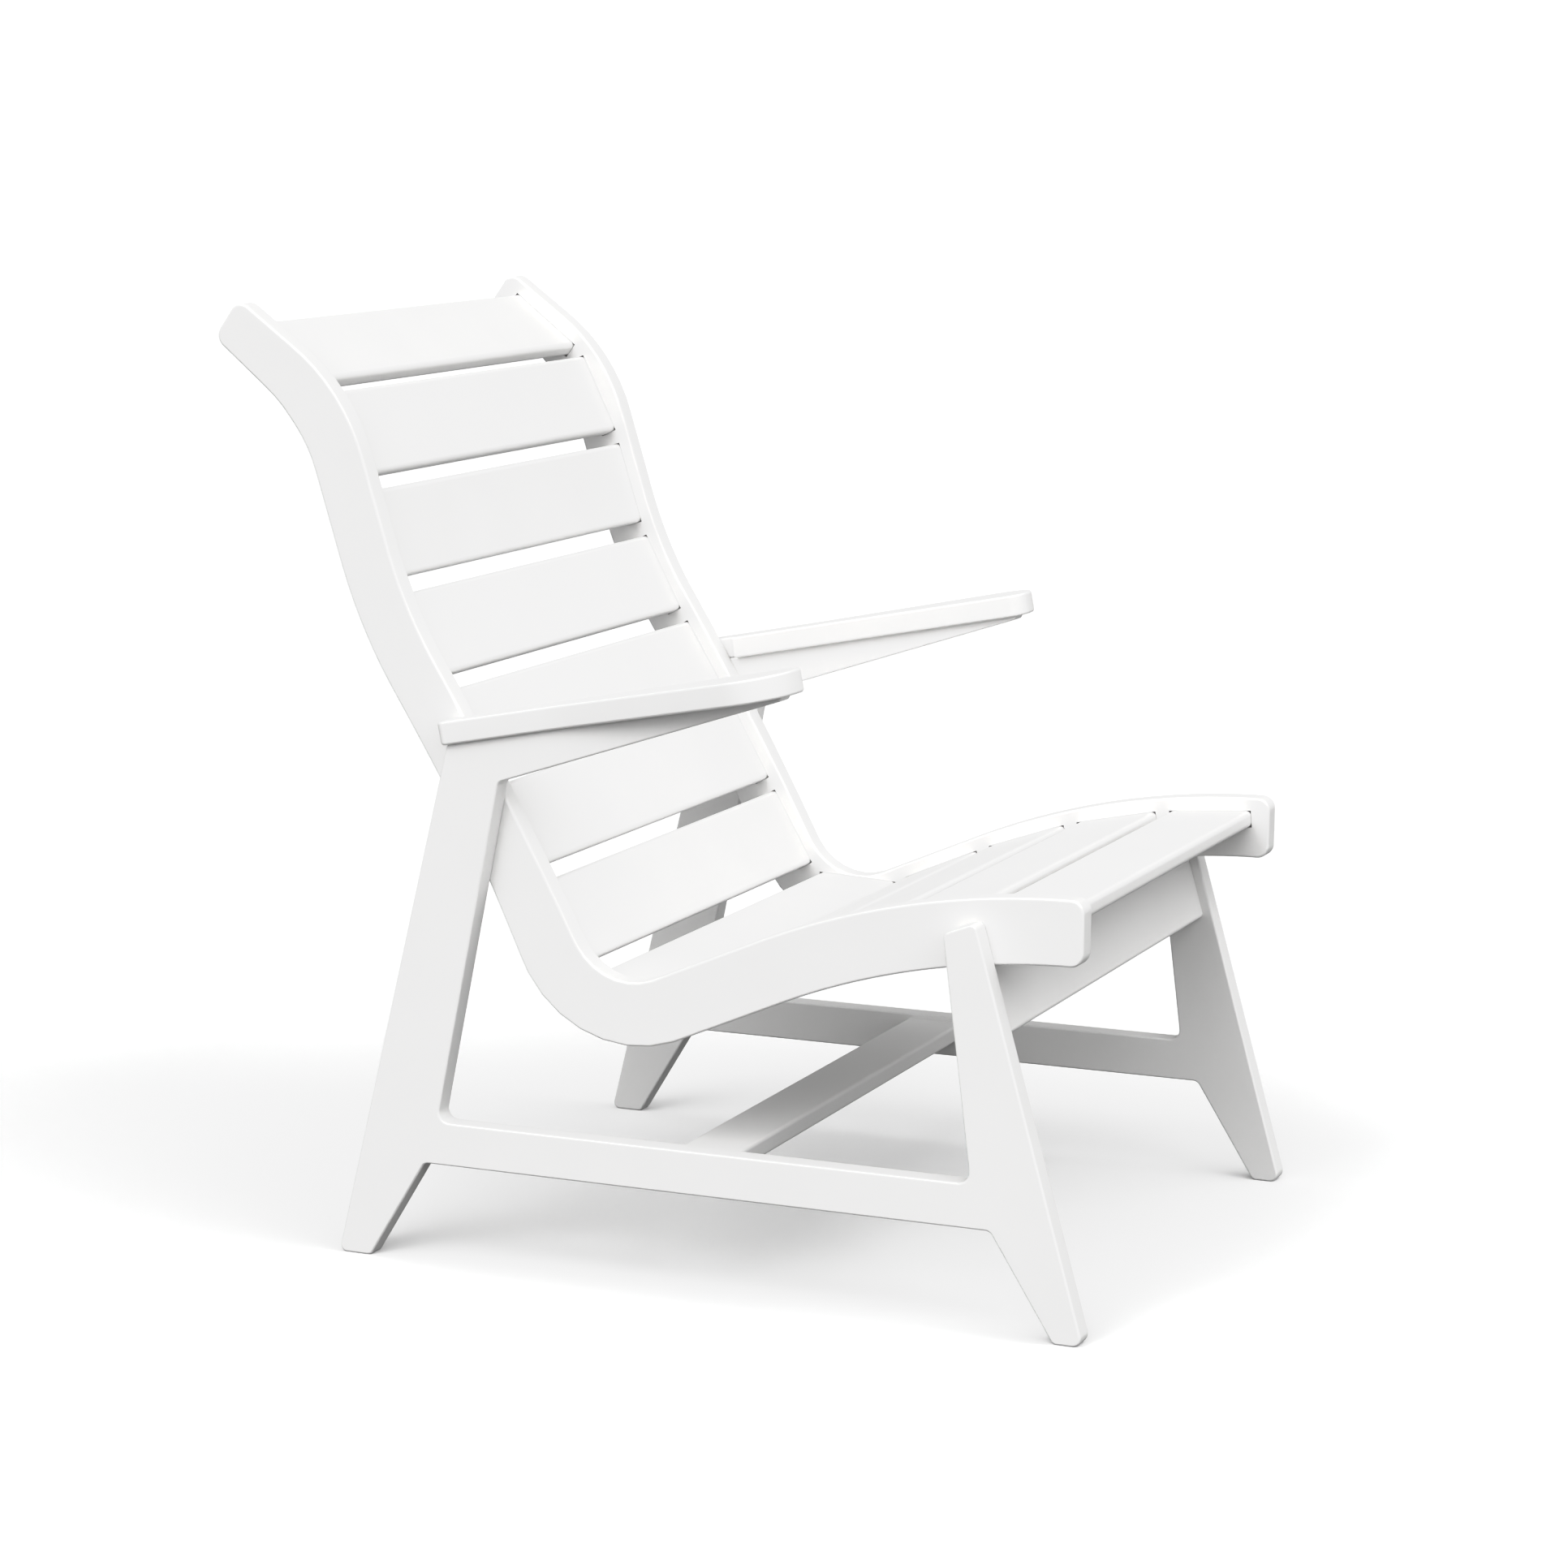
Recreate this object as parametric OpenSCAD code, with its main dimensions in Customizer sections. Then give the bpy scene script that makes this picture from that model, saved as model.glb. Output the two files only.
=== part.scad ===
// Lounge chair of thick sheet and slats. The sitter faces -Y and the floor is z = 0.
// Two cut side frames carry two S-curved rails, and twelve slats bridge the rails.
// Side outlines are drawn as [y, z] points and extruded along X.

/* [Overall] */
// Width over the outer faces of the two side frames
frame_w = 700; // [560:5:860]
// Height of the rail's upper edge at the front of the seat
seat_h = 453; // [400:1:520]
// Distance on the floor from the front of the front foot to the back of the rear foot
stance = 857; // [760:1:960]
// How far the front foot stands in front of the rail's front end
foot_lead = 14; // [0:1:40]

/* [Sheet] */
// Thickness of the side frames, rails and arms
sheet_t = 25; // [20:0.5:30]
// Thickness of the slats
slat_t = 19; // [15:0.5:24]
// Thickness of the apron and the low cross-board
board_t = 20; // [15:0.5:24]

/* [Slats] */
// Width of one slat
slat_w = 97; // [80:1:117]
// Gap between two slats along the curve
slat_gap = 17; // [13:1:22]
// Radius on the long edges of a slat
slat_edge_r = 6; // [1:0.5:7]
// Depth to which a slat end is let into the rail
mortise_deep = 9; // [6:0.5:11]
// Play around a slat in its mortise
mortise_play = 0.3; // [0.2:0.1:0.6]

/* [Rails] */
// How far the rail stands proud of the slats' upper faces
rail_lip = 15; // [10:1:20]
// Rail left over beyond the first and the last slat
rail_over = 22; // [18:1:30]
// Depth of the rail under the seat, below the slats' upper faces
rail_seat_deep = 54; // [50:1:62]
// Depth of the rail behind the back
rail_back_deep = 45.5; // [42:0.5:52]
// Depth of the rail at its top end
rail_top_deep = 37; // [34:1:42]
// Corner radius at both ends of a rail
rail_end_r = 14; // [6:1:16]
// Where the rear leg crosses the rail, counted in slats from the middle of the first
leg_cross = 6.26; // [6.1:0.01:6.5]

/* [Side frame] */
// Width of the rear leg where the rail crosses it
leg_top_w = 71; // [60:1:85]
// Width of the rear leg at the top of the stretcher
leg_low_w = 84; // [70:1:95]
// Height of the underside of the stretcher above the floor
stretcher_h = 110; // [90:1:130]
// Depth of the stretcher
stretcher_deep = 47; // [40:1:60]
// Width of the rear foot on the floor
rear_foot_w = 39; // [32:1:48]
// Width of the front foot on the floor
front_foot_w = 33; // [28:1:42]
// Distance from the back of the rear foot to the rear crotch
rear_crotch = 107; // [95:1:120]
// Distance from the front of the front foot to the front crotch
front_crotch = 102; // [90:1:115]
// Distance from the rail's front end to the front edge of the front leg's top
leg_set = 107; // [95:1:125]
// Width of the front leg at its top
leg_tip_w = 37; // [34:1:46]
// Width of the front leg at the top of the stretcher
leg_knee_w = 79; // [68:1:90]
// How far the front leg's top stays below the rail's upper edge
leg_drop = 21; // [18:1:26]
// How much lower the top's rear corner lies than its front corner
leg_tip_fall = 9; // [4:1:12]
// Corner radius at the front of the front foot
toe_r = 10; // [6:1:14]
// Corner radius at the back of the rear foot
heel_r = 8; // [4:1:12]
// Corner radius at the inner sides of both feet
foot_r = 6; // [3:1:10]
// Corner radius at both crotches, under the stretcher
crotch_r = 8; // [4:1:14]
// Corner radius at both ends of the window, above the stretcher
window_r = 12; // [6:1:18]
// Corner radius at the front leg's top and at the root of the arm bracket
top_r = 7; // [4:1:10]

/* [Arms] */
// Height of the arm's underside at its front end
arm_h = 645; // [610:1:690]
// Rise of the arm towards the front, in degrees
arm_tilt = 11; // [6:0.5:14]
// Length of the arm
arm_len = 412; // [360:1:460]
// Width of the arm at its rear end, measured from its inner edge
arm_back_w = 45; // [40:1:55]
// Width of the arm near its front, measured from its inner edge
arm_front_w = 86; // [70:1:100]
// How far the arm's inner edge stands inside the side frame
arm_inside = 13; // [8:1:18]
// Distance from the arm's front end to where its outer edge has drawn in
arm_waist = 272; // [240:1:300]
// Radius of the big outer corner at the front of the arm
arm_bow_r = 53; // [30:1:70]
// Radius of the inner corner at the front of the arm
arm_tip_r = 18; // [8:1:24]
// Radius of the outer corner at the back of the arm
arm_tail_r = 8; // [4:1:12]
// Radius of the easy curve where the arm's outer edge has drawn in
arm_waist_r = 300; // [150:10:400]
// How far the arm runs past the back of the rear leg
arm_past = 5; // [0:1:10]
// Depth of the arm bracket where it leaves the rear leg
bracket_deep = 46; // [40:1:52]
// How far the bracket's tip stays behind the arm's front end
bracket_set = 14; // [8:1:24]
// Depth of the bracket's blunt tip
bracket_tip = 5.5; // [4:0.5:8]
// Gap between the arm's notch and the front edge of the rail
arm_gap = 8; // [4:0.5:12]
// Gap between the arm and the outer face of the rail
arm_side_gap = 1; // [0.5:0.5:3]
// Radius of the corners at the notch
notch_r = 4; // [2:0.5:4]

/* [Boards] */
// Height of the apron's front face, along its slope
apron_deep = 74; // [60:1:82]
// How far the apron lies behind the front edge of the front legs
apron_set = 11; // [4:1:16]
// Gap between the apron and the rails above it
apron_gap = 2; // [1:0.5:6]
// Width of the low cross-board, front to back
low_board_w = 68; // [55:1:82]
// How far the low cross-board's top lies below the top of the stretchers
low_board_drop = 5; // [2:1:10]
// Radius on the edges of the boards
board_edge_r = 4; // [1:0.5:6]

/* [Fasteners] */
// Diameter of the pocket screws
screw_d = 4; // [3.5:0.5:5]
// Diameter of the pocket screws' heads
screw_head_d = 8.5; // [7:0.5:9]
// Height of the pocket screws' heads
screw_head_h = 2.4; // [2:0.2:3]
// Pitch of the pocket holes against the face of the board, in degrees
pocket_angle = 15; // [12:1:18]
// Diameter of the pocket holes
pocket_d = 10; // [9:0.5:11]
// Length of board between the screw head and the end of the board
pocket_web = 24; // [20:1:28]
// Length of screw that stands out of the end of the board
screw_bite = 12.5; // [9:0.5:14]
// Diameter of the frame bolts
bolt_d = 8; // [6:1:8]
// Length of bolt inside its insert
bolt_bite = 14; // [10:1:16]
// Outer diameter of the threaded inserts
insert_d = 12; // [11:0.5:13]
// Length of the threaded inserts
insert_len = 18; // [14:1:19]
// Diameter of the bolts' domed heads
bolt_head_d = 14; // [13:0.5:15]
// Height of the bolts' domed heads
bolt_head_h = 4.4; // [3.6:0.2:5]
// Outer diameter of the washers
washer_d = 17; // [16:0.5:18]
// Thickness of the washers
washer_t = 1.6; // [1:0.2:2]
// Distance between the two rear bolts of a side, along the rail
rear_bolt_gap = 46; // [40:1:54]
// How far the upper front bolt lies behind the front edge of the leg's top
front_bolt_set = 9; // [7:1:11]
// How much further back the lower front bolt lies
front_bolt_step = 15; // [12:1:17]
// Room between the slats and the washer of the upper front bolt
washer_room = 3.5; // [1:0.5:5]
// Distance from the rail's lower edge to the middle of the lower front bolt
bolt_rim = 11; // [10:0.5:13]
// Diameter of the arm screws
arm_screw_d = 5; // [4:0.5:6]
// Height of the arm screws' heads
arm_screw_head_h = 3; // [2.4:0.2:4]
// Depth to which the arm screws reach into the arm
arm_screw_bite = 17; // [12:1:20]
// Length of bracket between an arm screw's head and the arm
arm_screw_web = 7; // [5:1:12]
// Distance from the arm's front end to the first arm screw
arm_screw_set = 82; // [70:1:95]
// Distance between two arm screws
arm_screw_step = 91; // [80:1:100]

/* [Hidden] */
$fn = 48;

// Slats from the front of the seat to the top of the back, and those in front of the bend
slat_count = 12;
seat_slats = 4;
// Arm screws on a side
arm_screw_count = 3;

sheet_white = "#f2f2ef";
steel = "#c4c6c8";
brass = "#c9a75a";

// Lateral planes, on the +X side
inner_x = frame_w / 2 - sheet_t;
rail_in_x = inner_x - sheet_t;
slat_end_x = rail_in_x + mortise_deep;

// The curve that the slats' upper faces follow, front to back.
// Each stretch is [length in slat pitches, turn in degrees].
pitch = slat_w + slat_gap;
rail_front_y = 0;
start_slope = 0.5;
stretches = [
    [3.18, -23.9],  // rolling front of the seat
    [1.10, 0],      // fall to the bend
    [1.13, 86.1],   // bend into the back
    [2.87, -4.7],   // lower back
    [1.20, 15.2],   // lumbar rise
    [0.87, 0],      // upright stretch
    [1.15, -37],    // roll at the shoulders
    [0.68, 0]];     // straight top end
run_len = 2 * rail_over + slat_count * slat_w + (slat_count - 1) * slat_gap;
bend_run = (stretches[0][0] + stretches[1][0] + stretches[2][0]) * pitch;
least_turn = 0.001;
function step(p, d, turn) =
    abs(turn) < least_turn
    ? [p.x + d * cos(p.z), p.y + d * sin(p.z), p.z]
    : let(r = d / turn * 180 / PI)
        [p.x + r * (sin(p.z + turn) - sin(p.z)), p.y - r * (cos(p.z + turn) - cos(p.z)), p.z + turn];
function walk(run, p, i = 0) =
    let(last = i == len(stretches) - 1, whole = stretches[i][0] * pitch,
        d = last ? run : min(run, whole), q = step(p, d, stretches[i][1] * d / whole))
    last || run <= whole ? q : walk(run - whole, q, i + 1);
rail_start = [rail_front_y, seat_h - rail_lip, start_slope];
// Point on the curve after the given run, set off along the curve's upper normal
function curve_at(run, off = 0) =
    let(p = walk(run, rail_start)) [p.x - off * sin(p.z), p.y + off * cos(p.z)];
function slat_run(i) = rail_over + slat_w / 2 + i * pitch;

// Outline helpers: corners are [y, z, radius]. Wide arcs take finer steps, in degrees.
wide_r = 30;
wide_step = 4;
arc_step = 12;
function unit(v) = v / norm(v);
function corner(a, b, c) =
    let(u = unit([a.x - b.x, a.y - b.y]), v = unit([c.x - b.x, c.y - b.y]),
        half = acos(max(-1, min(1, u * v))) / 2, r = b.z,
        hub = [b.x, b.y] + unit(u + v) * r / sin(half),
        t0 = [b.x, b.y] + u * r / tan(half), t1 = [b.x, b.y] + v * r / tan(half),
        a0 = atan2(t0.y - hub.y, t0.x - hub.x), a1 = atan2(t1.y - hub.y, t1.x - hub.x),
        sweep = a1 - a0 > 180 ? a1 - a0 - 360 : a1 - a0 < -180 ? a1 - a0 + 360 : a1 - a0,
        n = max(2, ceil(abs(sweep) / (r > wide_r ? wide_step : arc_step))))
    [for (k = [0:n]) hub + r * [cos(a0 + sweep * k / n), sin(a0 + sweep * k / n)]];
function rounded(pts) =
    [for (i = [0:len(pts) - 1]) each
        (pts[i].z == 0
        ? [[pts[i].x, pts[i].y]]
        : corner(pts[(i + len(pts) - 1) % len(pts)], pts[i], pts[(i + 1) % len(pts)]))];
function box_outline(w, t, r) = rounded([[-w / 2, -t, r], [w / 2, -t, r], [w / 2, 0, r], [-w / 2, 0, r]]);

// Rail outline: upper edge front to back, then lower edge back to front
rail_samples = 96;
slim_stretch = 1.3 * pitch; // from the seat's depth to the back's
top_stretch = 1.2 * pitch;  // from the back's depth to the top end's
function rail_deep(run) = lookup(run, [[0, rail_seat_deep], [bend_run, rail_seat_deep],
    [bend_run + slim_stretch, rail_back_deep], [run_len - top_stretch, rail_back_deep],
    [run_len, rail_top_deep]]);
function rail_stop(k) = k == 0 ? 0 : k == rail_samples ? run_len
    : 2 * rail_end_r + (run_len - 4 * rail_end_r) * (k - 1) / (rail_samples - 2);
function end_r(k) = k == 0 || k == rail_samples ? rail_end_r : 0;
rail_pts = concat(
    [for (k = [0:rail_samples]) let(p = curve_at(rail_stop(k), rail_lip)) [p.x, p.y, end_r(k)]],
    [for (k = [rail_samples:-1:0])
        let(s = rail_stop(k), p = curve_at(s, -rail_deep(s))) [p.x, p.y, end_r(k)]]);
rail_outline = rounded(rail_pts);

// Where things meet along the rail
bolt_off = (slat_t + rail_back_deep) / 2;
cross_run = slat_run(leg_cross);
cross = curve_at(cross_run, -bolt_off);
foot_front = rail_front_y - foot_lead;
foot_back = foot_front + stance;
stretcher_top = stretcher_h + stretcher_deep;
function along(a, b, z) = a.x + (b.x - a.x) * (z - a.y) / (b.y - a.y);

// Rear leg: its back edge and its front edge as straight lines
back_edge_top = [cross.x + leg_top_w / 2, cross.y];
front_edge_top = [cross.x - leg_top_w / 2, cross.y];
back_edge_foot = [foot_back, 0];
knee_back_y = along(back_edge_foot, back_edge_top, stretcher_top) - leg_low_w;

// Front leg top, tied to the rail
leg_tip = curve_at(leg_set, rail_lip - leg_drop);
leg_tip_back = curve_at(leg_set + leg_tip_w, rail_lip - leg_drop - leg_tip_fall);
knee_front_y = along([foot_front, 0], leg_tip, stretcher_top) + leg_knee_w;

// Arm plane: underside height at y, falling towards the back
arm_fall = tan(arm_tilt);
arm_reach = arm_len * cos(arm_tilt);
leg_slope = (back_edge_top.x - foot_back) / back_edge_top.y;
// The back edge of the leg meets the arm's underside at arm_back_y, and the arm starts at arm_y0
arm_back_y = foot_back + leg_slope * (arm_h - arm_fall * (arm_reach - arm_past));
arm_y0 = arm_back_y + arm_past - arm_reach;
function arm_under(y) = arm_h - arm_fall * (y - arm_y0);
bracket_root_z = arm_under(front_edge_top.x) - bracket_deep;
bracket_root_y = along(front_edge_top, [knee_back_y, stretcher_top], bracket_root_z);
bracket_y = arm_y0 + bracket_set;
bracket_lead = 3;     // the bracket's blunt tip leans back by this much
bracket_top_r = 1.2;
arm_seat_r = 4;

frame_pts = [
    [foot_back, 0, heel_r],
    [arm_back_y, arm_under(arm_back_y), arm_seat_r],
    [bracket_y, arm_under(bracket_y), bracket_top_r],
    [bracket_y + bracket_lead, arm_under(bracket_y) - bracket_tip, bracket_tip / 2],
    [bracket_root_y, bracket_root_z, top_r],
    [knee_back_y, stretcher_top, window_r],
    [knee_front_y, stretcher_top, window_r],
    [leg_tip_back.x, leg_tip_back.y, top_r],
    [leg_tip.x, leg_tip.y, top_r],
    [foot_front, 0, toe_r],
    [foot_front + front_foot_w, 0, foot_r],
    [foot_front + front_crotch, stretcher_h, crotch_r],
    [foot_back - rear_crotch, stretcher_h, crotch_r],
    [foot_back - rear_foot_w, 0, foot_r]];
frame_outline = rounded(frame_pts);

// The part's origin lies under the middle of its footprint
front_reach = min([for (p = frame_outline) p.x]);
back_reach = max([for (p = rail_outline) p.x]);
mid_y = (front_reach + back_reach) / 2;

// Apron: parallel to the front edge of the legs, its upper edge just under the rails
apron_lean = atan2(leg_tip.x - foot_front, leg_tip.y);
apron_top_z = curve_at(leg_set, -rail_seat_deep).y - apron_gap;
apron_top_y = along([foot_front, 0], leg_tip, apron_top_z) + apron_set / cos(apron_lean);

// Low cross-board: in the middle of the stretchers
low_board_z = stretcher_top - low_board_drop;
low_board_y = (foot_front + foot_back) / 2;

// Sheet cut to an outline and stood on edge, its lower x face at x
module upright_sheet(x, outline)
    translate([x, 0, 0]) rotate([90, 0, 90]) linear_extrude(sheet_t) polygon(outline);

// Moves the chair so that the origin is under its middle
module centred() translate([0, -mid_y, 0]) children();

// Mirrors a left-hand (+X) shape to the right-hand side when side is -1
module on_side(side) {
    if (side > 0) children();
    else mirror([1, 0, 0]) children();
}

// Cuts run past the faces they open by this much
cut = 1;
// Long enough for a bore to leave its board
bore_len = 60;

// A screw or its bore, along +Z from under the head at z = 0, with a point at the far end
point_d = 0.8;
module shank(d, length) {
    cylinder(d = d, h = length - d);
    translate([0, 0, length - d]) cylinder(d1 = d, d2 = point_d, h = d);
}
module screw(d, length, head_d, head_h, key_w)
    difference() {
        union() {
            translate([0, 0, -head_h]) cylinder(d = head_d, h = head_h);
            shank(d, length);
        }
        key_socket(-head_h, key_w, head_h * 2 / 3);
    }
module screw_bore(d, length, pocket)
    union() {
        translate([0, 0, -bore_len]) cylinder(d = pocket, h = bore_len);
        shank(d, length);
    }
module key_socket(z, key_w, deep)
    translate([0, 0, z - cut]) cylinder(d = key_w, h = deep + cut, $fn = 6);

// A board end's pocket screw: origin at the middle of the board's end face, board along -X,
// its lower face at z = -thickness / 2. The head sits in a pocket that opens in the lower face.
pocket_key = 3.6;
pocket_reach = pocket_web + screw_bite;
module pocket_frame()
    rotate([0, 90 - pocket_angle, 0]) translate([0, 0, -pocket_web]) children();
module pocket_screw()
    pocket_frame() screw(screw_d, pocket_reach, screw_head_d, screw_head_h, pocket_key);
module pocket_bore()
    pocket_frame() screw_bore(screw_d, pocket_reach, pocket_d);

// Slat i, counted from the front, in its place: local x across, y along the curve, z out of its face
module slat_place(i) {
    a = curve_at(slat_run(i) - slat_w / 2);
    b = curve_at(slat_run(i) + slat_w / 2);
    translate([0, (a.x + b.x) / 2, (a.y + b.y) / 2])
    rotate([atan2(b.y - a.y, b.x - a.x), 0, 0]) children();
}
slat_screw_y = slat_w / 4;
module slat_screw_places()
    for (side = [-1, 1], y = [-slat_screw_y, slat_screw_y])
        on_side(side) translate([slat_end_x, y, -slat_t / 2]) children();
module slat(i)
    color(sheet_white) centred() slat_place(i)
    difference() {
        translate([-slat_end_x, 0, 0]) rotate([90, 0, 90])
            linear_extrude(2 * slat_end_x) polygon(box_outline(slat_w, slat_t, slat_edge_r));
        slat_screw_places() pocket_bore();
    }
module slat_mortise(i)
    slat_place(i)
    translate([rail_in_x - cut, -slat_w / 2 - mortise_play, -slat_t - mortise_play])
    cube([mortise_deep + cut, slat_w + 2 * mortise_play, slat_t + 2 * mortise_play]);

// Frame bolts join a rail to its side frame: [y, z] of each, on one side
front_bolt_1 = curve_at(leg_set + front_bolt_set, -slat_t - washer_room - washer_d / 2);
front_bolt_2 = curve_at(leg_set + front_bolt_set + front_bolt_step, bolt_rim - rail_seat_deep);
rear_bolt_1 = curve_at(cross_run - rear_bolt_gap / 2, -bolt_off);
rear_bolt_2 = curve_at(cross_run + rear_bolt_gap / 2, -bolt_off);
bolt_spots = [front_bolt_1, front_bolt_2, rear_bolt_1, rear_bolt_2];
module bolt_places_on(side)
    on_side(side) for (p = bolt_spots)
        translate([rail_in_x, p.x, p.y]) rotate([0, 90, 0]) children();
module bolt_places()
    for (side = [-1, 1]) bolt_places_on(side) children();
module bolt_bore() {
    translate([0, 0, -cut]) cylinder(d = bolt_d, h = sheet_t + cut);
    translate([0, 0, sheet_t]) cylinder(d = insert_d, h = insert_len);
}
bolt_key = 5.8;
dome_r = (bolt_head_d * bolt_head_d / 4 + bolt_head_h * bolt_head_h) / (2 * bolt_head_h);
module bolt()
    difference() {
        union() {
            intersection() {
                translate([0, 0, -washer_t - bolt_head_h]) cylinder(d = bolt_head_d, h = bolt_head_h);
                translate([0, 0, -washer_t - bolt_head_h + dome_r]) sphere(r = dome_r);
            }
            translate([0, 0, -washer_t]) cylinder(d = bolt_d, h = washer_t + sheet_t + bolt_bite);
        }
        key_socket(-washer_t - bolt_head_h, bolt_key, bolt_head_h * 2 / 3);
    }

// Arm screws run up through the bracket, square to the arm: y of each
arm_screw_ys = [for (k = [0:arm_screw_count - 1]) arm_y0 + arm_screw_set + k * arm_screw_step];
arm_screw_head_d = 2 * arm_screw_d;
arm_screw_play = 0.4;
arm_screw_key = 4;
arm_screw_len = arm_screw_web + arm_screw_bite;
module arm_screw_places()
    for (side = [-1, 1], y = arm_screw_ys)
        on_side(side) translate([frame_w / 2 - sheet_t / 2, y, arm_under(y)])
        rotate([-arm_tilt, 0, 0]) translate([0, 0, -arm_screw_web]) children();
module arm_screw()
    screw(arm_screw_d, arm_screw_len, arm_screw_head_d - arm_screw_play, arm_screw_head_h, arm_screw_key);
module arm_screw_bore()
    screw_bore(arm_screw_d, arm_screw_len, arm_screw_head_d);

// Board screws: apron ends and low cross-board ends, with pockets in the hidden face
apron_screw_down = apron_deep / 4;
module apron_place()
    translate([0, apron_top_y, apron_top_z]) rotate([90 - apron_lean, 0, 0]) children();
module apron_screw_places()
    for (side = [-1, 1], k = [1, 3])
        on_side(side) apron_place()
        translate([inner_x, -k * apron_screw_down, -board_t / 2]) children();
low_screw_y = low_board_w / 4;
module low_screw_places()
    for (side = [-1, 1], y = [-low_screw_y, low_screw_y])
        on_side(side) translate([inner_x, low_board_y + y, low_board_z - board_t / 2]) children();

module side_frame(side)
    color(sheet_white) centred()
    difference() {
        on_side(side) upright_sheet(inner_x, frame_outline);
        bolt_places_on(side) bolt_bore();
        arm_screw_places() arm_screw_bore();
        apron_screw_places() pocket_bore();
        low_screw_places() pocket_bore();
    }
module rail(side)
    color(sheet_white) centred()
    difference() {
        on_side(side) upright_sheet(rail_in_x, rail_outline);
        for (i = [0:slat_count - 1]) on_side(side) slat_mortise(i);
        for (i = [0:slat_count - 1]) slat_place(i) slat_screw_places() pocket_bore();
        bolt_places_on(side) bolt_bore();
    }

// Arm outline seen from above, in the arm's own plane: [x, distance from its front end, radius]
arm_in_x = inner_x - arm_inside;
strip_x = inner_x + arm_side_gap;
most_bow = 0.62; // share of the arm's width that its big corner may take
bow_r = min(arm_bow_r, most_bow * arm_front_w);
// The rail's front edge at the height of the arm, taken as straight between two points on it
edge_low = curve_at(cross_run + 0.9 * pitch, rail_lip);
edge_high = curve_at(cross_run + 1.4 * pitch, rail_lip);
rail_edge_y = along(edge_low, edge_high, arm_under(cross.x));
arm_notch = (rail_edge_y - arm_gap - arm_y0) / cos(arm_tilt);
arm_pts = [
    [arm_in_x, 0, arm_tip_r],
    [arm_in_x + arm_front_w, 0, bow_r],
    [arm_in_x + arm_back_w, arm_waist, arm_waist_r],
    [arm_in_x + arm_back_w, arm_len, arm_tail_r],
    [strip_x, arm_len, notch_r],
    [strip_x, arm_notch, notch_r],
    [arm_in_x, arm_notch, notch_r]];
module arm(side)
    color(sheet_white) centred()
    difference() {
        on_side(side) translate([0, arm_y0, arm_h]) rotate([-arm_tilt, 0, 0])
            linear_extrude(sheet_t) polygon(rounded(arm_pts));
        arm_screw_places() arm_screw_bore();
    }

module front_apron()
    color(sheet_white) centred()
    difference() {
        apron_place() translate([-inner_x, -apron_deep / 2, 0]) rotate([90, 0, 90])
            linear_extrude(2 * inner_x) polygon(box_outline(apron_deep, board_t, board_edge_r));
        apron_screw_places() pocket_bore();
    }
module low_crossboard()
    color(sheet_white) centred()
    difference() {
        translate([-inner_x, low_board_y, low_board_z]) rotate([90, 0, 90])
            linear_extrude(2 * inner_x) polygon(box_outline(low_board_w, board_t, board_edge_r));
        low_screw_places() pocket_bore();
    }

module seat_slat_screws()
    color(steel) centred()
    for (i = [0:seat_slats]) slat_place(i) slat_screw_places() pocket_screw();
module back_slat_screws()
    color(steel) centred()
    for (i = [seat_slats + 1:slat_count - 1]) slat_place(i) slat_screw_places() pocket_screw();
module board_screws()
    color(steel) centred() {
        apron_screw_places() pocket_screw();
        low_screw_places() pocket_screw();
    }
module frame_bolts()
    color(steel) centred() bolt_places() bolt();
module bolt_washers()
    color(steel) centred() bolt_places()
    translate([0, 0, -washer_t])
    difference() {
        cylinder(d = washer_d, h = washer_t);
        translate([0, 0, -cut]) cylinder(d = bolt_d, h = washer_t + 2 * cut);
    }
insert_floor = 1;
module threaded_inserts()
    color(brass) centred() bolt_places()
    translate([0, 0, sheet_t])
    difference() {
        cylinder(d = insert_d, h = insert_len);
        translate([0, 0, -cut]) cylinder(d = bolt_d, h = insert_len - insert_floor + cut);
    }
module arm_screws()
    color(steel) centred() arm_screw_places() arm_screw();

side_frame(-1);  // side_frame_right
side_frame(1);  // side_frame_left
rail(-1);  // rail_right
rail(1);  // rail_left
slat(0);  // seat_slat_1
slat(1);  // seat_slat_2
slat(2);  // seat_slat_3
slat(3);  // seat_slat_4
slat(4);  // bend_slat
slat(5);  // back_slat_1
slat(6);  // back_slat_2
slat(7);  // back_slat_3
slat(8);  // back_slat_4
slat(9);  // back_slat_5
slat(10);  // back_slat_6
slat(11);  // back_slat_7
arm(-1);  // arm_right
arm(1);  // arm_left
front_apron();
low_crossboard();
seat_slat_screws();
back_slat_screws();
board_screws();
frame_bolts();
bolt_washers();
threaded_inserts();
arm_screws();
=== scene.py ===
"""Lounge chair of thick white sheet, finished round its fixed frame.

The chair is cut from sheet: two side frames, two S-curved rails, twelve slats, two
arms, an apron and a low cross-board, held with stainless screws and bolts. Sizes are in
metres. The sitter faces -Y, +X is the sitter's left and the floor is z = 0.
"""

from __future__ import annotations

import logging
import math
from dataclasses import dataclass
from enum import Enum
from typing import Callable, Iterable

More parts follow.
